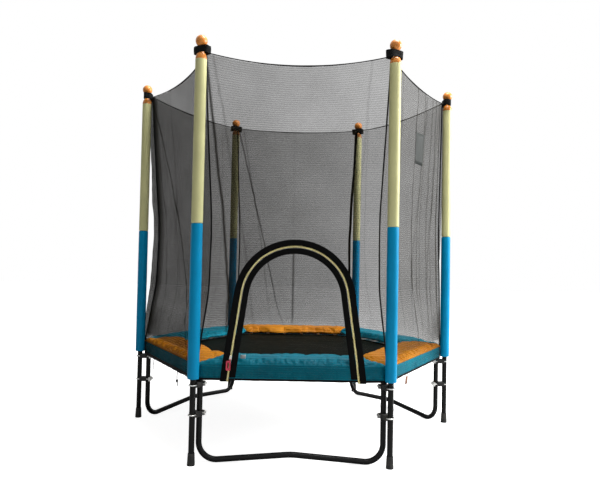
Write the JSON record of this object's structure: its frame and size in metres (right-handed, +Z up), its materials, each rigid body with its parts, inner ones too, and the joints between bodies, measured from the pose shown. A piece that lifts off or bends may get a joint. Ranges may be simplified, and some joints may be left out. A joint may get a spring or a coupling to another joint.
{
  "type": "trampoline",
  "caption": "Small hexagonal children's trampoline with padded poles, a fine net all round, an arched zip door, a sprung mat and a padded edge.",
  "frame": {"origin": "on the floor below the middle of the jump mat", "axes": "+Z up, the arched door faces -Y, +X is to the right of someone who faces the door"},
  "size_m": [1.509, 1.3128, 1.6],
  "materials": {
    "tube_black": "satin",
    "foam_blue": "soft matt foam skin",
    "foam_yellow": "soft matt foam skin",
    "cap_orange": "semi-gloss",
    "rubber_black": "matt",
    "zinc": "bright zinc",
    "mat_weave": "woven, slight sheen",
    "webbing_black": "woven tape",
    "pad_teal": "coated cloth",
    "pad_orange": "coated cloth",
    "net_black": "fine open mesh",
    "zip_black": "woven tape",
    "zip_gold": "moulded teeth",
    "slider_metal": "satin",
    "pull_red": "moulded strap",
    "lace_black": "braided cord"
  },
  "bodies": {
    "frame": {"lower_pole_1": "tube_black", "lower_pole_2": "tube_black", "lower_pole_3": "tube_black", "lower_pole_4": "tube_black", "lower_pole_5": "tube_black", "lower_pole_6": "tube_black", "upper_poles": "tube_black", "u_leg_front": "tube_black", "u_leg_right": "tube_black", "u_leg_left": "tube_black", "frame_rails": "tube_black", "corner_sockets": "tube_black", "lower_foam_1": "foam_blue", "lower_foam_2": "foam_blue", "lower_foam_3": "foam_blue", "lower_foam_4": "foam_blue", "lower_foam_5": "foam_blue", "lower_foam_6": "foam_blue", "upper_foam_1": "foam_yellow", "upper_foam_2": "foam_yellow", "upper_foam_3": "foam_yellow", "upper_foam_4": "foam_yellow", "upper_foam_5": "foam_yellow", "upper_foam_6": "foam_yellow", "pole_caps": "cap_orange", "foot_caps": "rubber_black", "pole_spacers": "rubber_black", "u_bolts": "zinc", "clamp_saddles": "zinc", "u_bolt_nuts": "zinc", "springs": "zinc", "net_loops": "webbing_black", "net_top_piping": "webbing_black", "pad_segment_1": "pad_teal", "pad_segment_2": "pad_orange", "pad_segment_3": "pad_teal", "pad_segment_4": "pad_orange", "pad_segment_5": "pad_teal", "pad_segment_6": "pad_orange", "pad_skirt": "pad_teal", "net_hem": "webbing_black", "net_panel_1": "net_black", "net_panel_2": "net_black", "net_panel_3": "net_black", "net_panel_4": "net_black", "net_panel_5": "net_black", "net_panel_6": "net_black", "zip_band": "zip_black", "zip_chain": "zip_gold", "tie_end_1": "lace_black", "tie_end_2": "lace_black", "tie_knot": "lace_black"},
    "mat": {"jump_mat": "mat_weave", "mat_border": "webbing_black", "mat_rings": "zinc"},
    "door": {"door_net": "net_black", "door_band": "zip_black"},
    "zip_slider": {"zip_slider": "slider_metal"},
    "zip_pull": {"zip_pull": "pull_red"}
  },
  "joints": [
    {"name": "mat_bounce", "type": "slide", "parent": "frame", "child": "mat", "axis": [0, 0, -1], "range_m": [0, 0.12], "stiffness_N_per_m": 5000, "deforming": ["springs"]},
    {"name": "door_flap", "type": "hinge", "parent": "frame", "child": "door", "pos_m": [0, -0.622, 0.3185], "axis": [1, 0, 0], "range_deg": [0, 115]},
    {"name": "zip_slide", "type": "slide", "parent": "frame", "child": "zip_slider", "axis": [0.1185, 0.2337, 0.9651], "range_m": [0, 0.2]},
    {"name": "pull_swing", "type": "hinge", "parent": "zip_slider", "child": "zip_pull", "pos_m": [-0.23156, -0.62916, 0.38784], "axis": [-1, 0, 0], "range_deg": [0, 120]}
  ]
}
